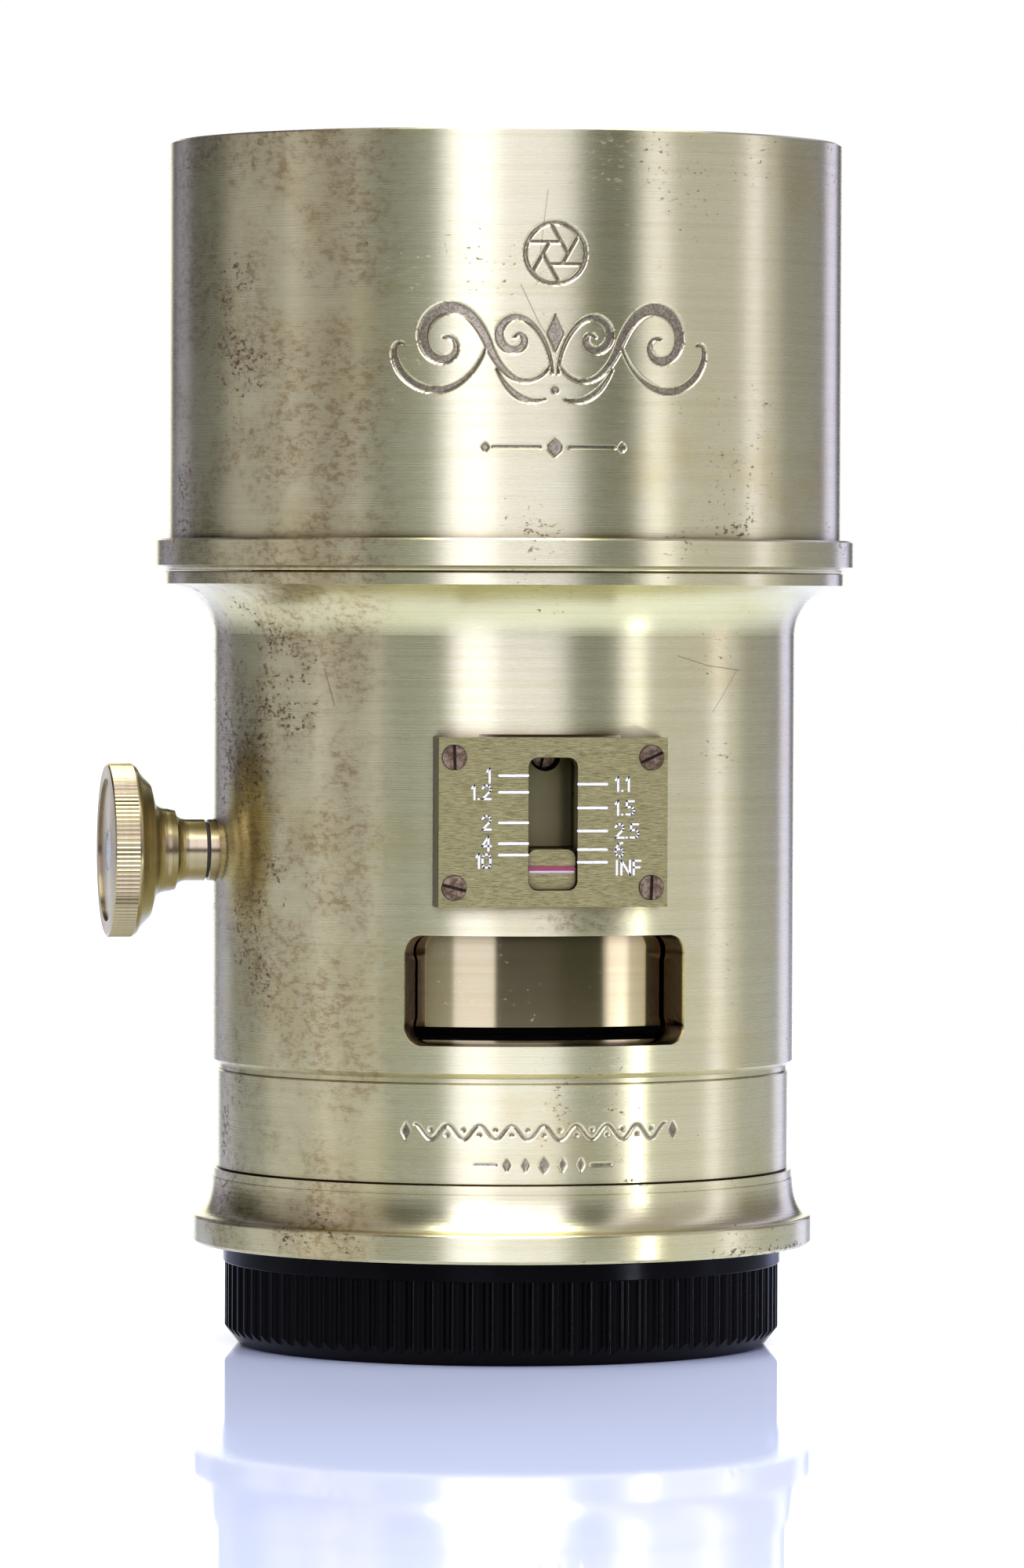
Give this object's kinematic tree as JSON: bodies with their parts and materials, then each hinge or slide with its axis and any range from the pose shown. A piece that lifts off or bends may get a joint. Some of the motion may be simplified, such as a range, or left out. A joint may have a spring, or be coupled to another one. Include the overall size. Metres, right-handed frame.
{
  "type": "portrait lens",
  "caption": "Brass portrait lens with a hood, rack-and-pinion focusing, distance scale, slot for stop plates and a ribbed bayonet rear cap.",
  "frame": {"origin": "centre of the rear cap's flat base", "axes": "+Z along the optical axis towards the front of the lens, the distance scale faces -Y, the focusing knob points to -X"},
  "size_m": [0.078, 0.0728, 0.1248],
  "materials": {
    "satin_brass": "turned satin, lightly tarnished",
    "plate_brass": "coarsely brushed",
    "golden_brass": "polished",
    "knob_brass": "polished",
    "copper_screws": "darkened",
    "mount_steel": "satin",
    "black_anodised": "matt black",
    "black_fibre": "matt",
    "coated_glass": "coated, polished",
    "cap_plastic": "satin moulded"
  },
  "bodies": {
    "barrel": {"outer_barrel": "satin_brass", "lower_ring": "satin_brass", "mount_collar": "satin_brass", "bayonet_mount": "mount_steel", "mount_screws": "mount_steel", "scale_plate": "plate_brass", "scale_plate_screws": "copper_screws", "pinion_bush": "knob_brass", "friction_washer": "black_fibre", "guide_key": "golden_brass", "guide_key_screws": "copper_screws"},
    "focus_tube": {"inner_tube": "golden_brass", "focus_rack": "golden_brass", "rack_screws": "copper_screws", "pointer_block": "plate_brass", "pointer_screw": "copper_screws", "hood_base": "satin_brass", "hood": "satin_brass", "front_cell": "black_anodised", "front_retaining_ring": "black_anodised", "front_crown_lens": "coated_glass", "front_flint_lens": "coated_glass", "cell_lock_screw": "copper_screws", "stop_housing": "black_anodised", "rear_cell": "black_anodised", "rear_flint_lens": "coated_glass", "rear_spacer": "black_anodised", "rear_crown_lens": "coated_glass", "rear_retaining_ring": "black_anodised"},
    "knob": {"focus_knob": "knob_brass", "pinion_shaft": "mount_steel", "drive_pinion": "golden_brass", "knob_screw": "mount_steel"},
    "cap": {"rear_cap": "cap_plastic"}
  },
  "joints": [
    {"name": "focus_slide", "type": "slide", "parent": "barrel", "child": "focus_tube", "axis": [0, 0, 1], "range_m": [0, 0.0092]},
    {"name": "knob_turn", "type": "hinge", "parent": "barrel", "child": "knob", "pos_m": [-0.036, 0, 0.05145], "axis": [1, 0, 0], "range_deg": [0, 220]},
    {"name": "cap_twist", "type": "hinge", "parent": "barrel", "child": "cap", "pos_m": [0, 0, 0.005], "axis": [0, 0, 1], "range_deg": [0, 60]}
  ],
  "couplings": [
    {"joint": "knob_turn", "follows": "focus_slide", "rad_per_m": 416.67}
  ]
}
